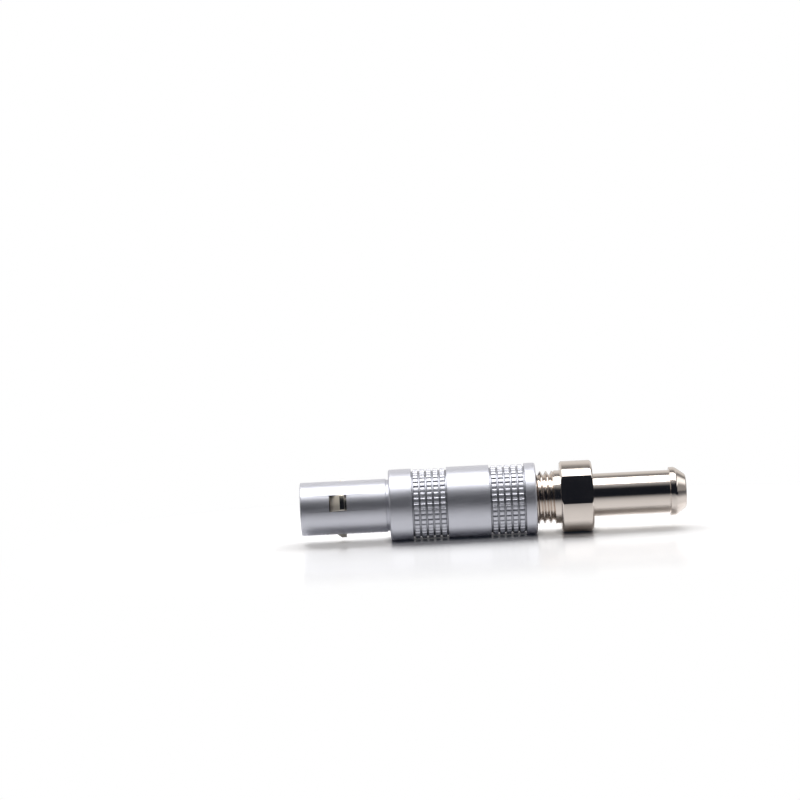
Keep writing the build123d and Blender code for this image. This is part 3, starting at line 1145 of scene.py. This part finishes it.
@dataclass
class Studio:
    """The camera, soft lamps overhead, walls that only gloss shows, and a pale floor."""

    camera_place: Triple = (0.02304, -0.49263, 0.06925)
    camera_aim: Triple = (0.01764, 0.00224, 0.01756)
    camera_roll: float = 2.93
    camera_range: Pair = (0.01, 20.0)
    lens: float = 132.16
    sensor: float = 36.0
    lamp_size: Pair = (1.1, 0.53)
    lamp_place: Triple = (0.03, -0.066, 0.70)
    lamp_radiance: float = 3.6
    back_size: Pair = (1.1, 0.80)
    back_place: Triple = (0.03, 0.46, 0.70)
    back_radiance: float = 4.5
    dark_room_and_shade_tone: Colour = (0.010, 0.012, 0.018)
    wall_tone: Colour = (0.82, 0.80, 0.78)
    wall_edge: Pair = (-0.1, 0.35)
    wall_foot: Pair = (-2.0, 4.0)
    dim_edge: Pair = (0.50, 0.68)
    dim_share: float = 0.7
    side_edge: Pair = (0.80, 0.93)
    side_share: float = 0.42
    left_foot: Pair = (6.0, 12.0)
    card_tone: Colour = (1.6, 1.6, 1.6)
    card_edge: Pair = (0.70, 0.82)
    card_foot: Pair = (19.0, 28.0)
    card_top: Pair = (38.0, 45.0)
    back_ceiling: Colour = (0.22, 0.22, 0.22)
    front_ceiling: Colour = (0.55, 0.55, 0.56)
    ceiling_foot: Pair = (36.0, 66.0)
    floor_tone: Colour = (0.97, 0.97, 0.98)
    floor_roughness: float = 0.15
    floor_specular: float = 0.35
    floor_size: float = 3.0
    floor_z: float = -0.006
    plug_middle: float = 0.0325
    plug_half: float = 0.033
    white_from: float = 0.25
    shadow_reach: float = 0.05
    contact_reach: float = 0.0014
    contact_shade_share: float = 0.85
    contact_samples: int = 6
    mirror_reach: float = 0.0056
    mirror_tone: Colour = (0.93, 0.93, 0.94)
    table_depth: float = 0.024
    table_round: float = 0.6
    table_side: float = 0.010
    table_left: float = -0.003
    table_right: float = 0.075
    right_share: float = 0.80

    def add_camera(self) -> None:
        """Put the camera where the photograph was taken from."""
        data = bpy.data.cameras.new("camera")
        data.lens = self.lens
        data.sensor_width = self.sensor
        data.clip_start, data.clip_end = self.camera_range
        camera = bpy.data.objects.new("camera", data)
        bpy.context.scene.collection.objects.link(camera)
        look = Vector(self.camera_aim) - Vector(self.camera_place)
        level = look.to_track_quat("-Z", "Y").to_matrix().to_4x4()
        roll = Matrix.Rotation(math.radians(-self.camera_roll), 4, "Z")
        camera.matrix_world = Matrix.Translation(self.camera_place) @ level @ roll
        bpy.context.scene.camera = camera

    def add_lamp(self, name: str, size: Pair, place: Triple, radiance: float) -> Piece:
        """Hang one soft lamp.

        Args:
            name: the lamp's name.
            size: its width and depth.
            place: where its middle is.
            radiance: how bright its face is, where white is 1.

        Returns:
            The lamp, which shines straight down.
        """
        data = bpy.data.lights.new(name, "AREA")
        data.shape = "RECTANGLE"
        data.size, data.size_y = size
        data.energy = radiance * math.pi * data.size * data.size_y
        lamp = bpy.data.objects.new(name, data)
        lamp.location = place
        bpy.context.scene.collection.objects.link(lamp)
        return lamp

    def add_lamps(self) -> None:
        """Hang one lamp that gloss shows, and one that lights only dull surfaces and the floor."""
        top = self.add_lamp("top_lamp", self.lamp_size, self.lamp_place, self.lamp_radiance)
        top.visible_diffuse = False
        back = self.add_lamp("back_lamp", self.back_size, self.back_place, self.back_radiance)
        back.visible_camera = False
        back.visible_glossy = False

    def rays(self, graph: Graph) -> tuple[Signal, Signal]:
        """Signals that are 1 for rays from the camera, and for rays off gloss or through glass.

        Args:
            graph: where the node goes.

        Returns:
            The camera's signal and the gloss signal.
        """
        path = graph.node("ShaderNodeLightPath", {}, {})
        camera, glossy, through = (Signal(graph, path.outputs[name])
                                   for name in ("Is Camera Ray", "Is Glossy Ray", "Is Transmission Ray"))
        return camera, (glossy + through).clamped()

    def add_world(self) -> None:
        """Surround the plug with plain light.

        The camera sees white. All other rays see one tone for each direction: a pale wall behind and
        at the left, a grey one at the right with a bright card above it, a dark room in front and a
        dim ceiling.
        """
        world = bpy.data.worlds.new("studio")
        bpy.context.scene.world = world
        graph = Graph(world)
        sideways, behind, up = graph.axes(graph.place("Generated"))
        elevation = up.arcsine() * math.degrees(1.0)
        left = (-sideways).step(*self.side_edge) * elevation.step(*self.left_foot)
        above = elevation.step(*self.card_foot) * (1.0 - elevation.step(*self.card_top))
        card = sideways.step(*self.card_edge) * above
        back = behind.step(*self.wall_edge)
        wide = 1.0 - self.dim_share * sideways.step(*self.dim_edge)
        right = self.side_share * sideways.step(*self.side_edge)
        wall = ((back * wide + right) * elevation.step(*self.wall_foot) + left).clamped()
        low_tone = graph.mixed(card, graph.mixed(wall, self.dark_room_and_shade_tone, self.wall_tone), self.card_tone)
        ceiling = graph.mixed(back, self.front_ceiling, self.back_ceiling)
        mirrored = graph.mixed(elevation.step(*self.ceiling_foot), low_tone, ceiling)
        tone = graph.mixed(self.rays(graph)[0], mirrored, WHITE)
        background = graph.node("ShaderNodeBackground", {}, {"Color": tone, "Strength": 1.0})
        graph.node("ShaderNodeOutputWorld", {}, {"Surface": background.outputs["Background"]})

    def floor_shares(self, graph: Graph, camera: Signal, gloss: Signal) -> tuple[Signal, Signal]:
        """Shares of plain white, and of the dark room and painted contact shade, in the floor.

        Args:
            graph: the floor's graph.
            camera: 1 for rays from the camera.
            gloss: 1 for rays off gloss or through glass.

        Returns:
            The white share, which rises with the distance from the plug, and the dark share: painted
            contact shade, which the camera sees where something touches the floor, and the dark room,
            which gloss sees where the table ends.
        """
        x, y = graph.axes(graph.place("Object"))[:2]
        off_middle = x - self.plug_middle
        past_ends = (off_middle.at_least(-off_middle) - self.plug_half).past_zero()
        square = past_ends + y * y
        white = (camera * (square / self.shadow_reach ** 2).step(self.white_from, 1.0)
                 + gloss * (square / self.mirror_reach ** 2).step(self.white_from, 1.0))
        front = (-y).past_zero()
        left = (self.table_left - x).past_zero()
        right = (x - self.table_right).past_zero()
        side = self.table_side ** 2
        edge = gloss * (front / (front + self.table_depth ** 2 + self.table_round * past_ends)
                        + left / (left + side) + self.right_share * right / (right + side)).clamped()
        # painted contact shade: the camera sees a dark glow where ambient occlusion finds the plug close
        # above the floor
        sky = graph.signal("ShaderNodeAmbientOcclusion", "AO", {"samples": self.contact_samples},
                           {"Distance": self.contact_reach})
        return white, (edge + camera * self.contact_shade_share * (1.0 - sky)).clamped()

    def add_floor(self) -> None:
        """Lay a pale floor.

        It keeps the plug's shadow and a faint mirror image, has painted shade where something touches it
        and is white further off. Where metal shows it, it is dark in front of the plug and past its ends.
        """
        half = self.floor_size / 2
        mesh = bmesh.new()
        corners = ((-half, -half), (half, -half), (half, half), (-half, half))
        mesh.faces.new([mesh.verts.new((x, y, self.floor_z)) for x, y in corners])
        floor = shown("floor", mesh)
        material = bpy.data.materials.new("floor")
        graph = Graph(material)
        camera, gloss = self.rays(graph)
        far, shade = self.floor_shares(graph, camera, gloss)
        surface = graph.node("ShaderNodeBsdfPrincipled", {}, {
            "Base Color": self.floor_tone, "Roughness": self.floor_roughness,
            "Specular IOR Level": self.floor_specular})
        white = graph.glow(graph.mixed(gloss, WHITE, self.mirror_tone))
        lit = graph.blended(far, surface.outputs["BSDF"], white)
        # the dark glow is painted contact shade for the camera, and the dark room past the table's edge for
        # gloss
        graph.finish(graph.blended(shade, lit, graph.glow(self.dark_room_and_shade_tone)))
        floor.data.materials.append(material)

    def build(self) -> None:
        """Set up everything round the plug."""
        self.add_camera()
        self.add_lamps()
        self.add_world()
        self.add_floor()
        bpy.context.scene.view_settings.view_transform = "Standard"


def main() -> None:
    """Build the studio and every piece, in order."""
    logging.basicConfig(level=logging.INFO, format="%(name)s %(message)s")
    Studio().build()
    shop = Workshop()
    shell_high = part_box("outer_shell")[1]
    nut_low, nut_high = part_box("clamp_nut")

    shop.dress(OuterShell(grip_end=shell_high.x, grip_r=shell_high.z).build(),
               Finish.SATIN_CHROME, Body.SHELL, "outer_shell")
    latch = Latch()
    shop.dress(latch.build_fingers(), Finish.SPRING_NICKEL, Body.CORE, "latch_sleeve")
    for number, angle in enumerate(spaced(LATCH_COUNT, LATCH_ANGLE), 1):
        tooth = latch.build_tooth(f"latch_tooth_{number}", angle)
        shop.dress(tooth, Finish.GROUND_NICKEL, Body.CORE, "latch_sleeve")
        latch.press(tooth)
    shop.dress(ClampNut(start=nut_low.x, end=nut_high.x, collar_r=nut_high.z).build(),
               Finish.BRIGHT_NICKEL, Body.NUT, "clamp_nut")

    for node in ("inner_sleeve", "contact_carrier", "braid_cone", "thrust_washer", "cable_collet"):
        shop.coat(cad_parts[node], Finish.NICKEL_BRASS)
    for node in ("front_insulator", "rear_insulator"):
        shop.coat(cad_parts[node], Finish.WHITE_INSULATOR)
    shop.coat(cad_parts["retaining_ring"], Finish.SPRING_NICKEL)
    shop.coat(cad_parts["centre_contact"], Finish.GOLD_PLATING)


if __name__ == "__main__":
    main()
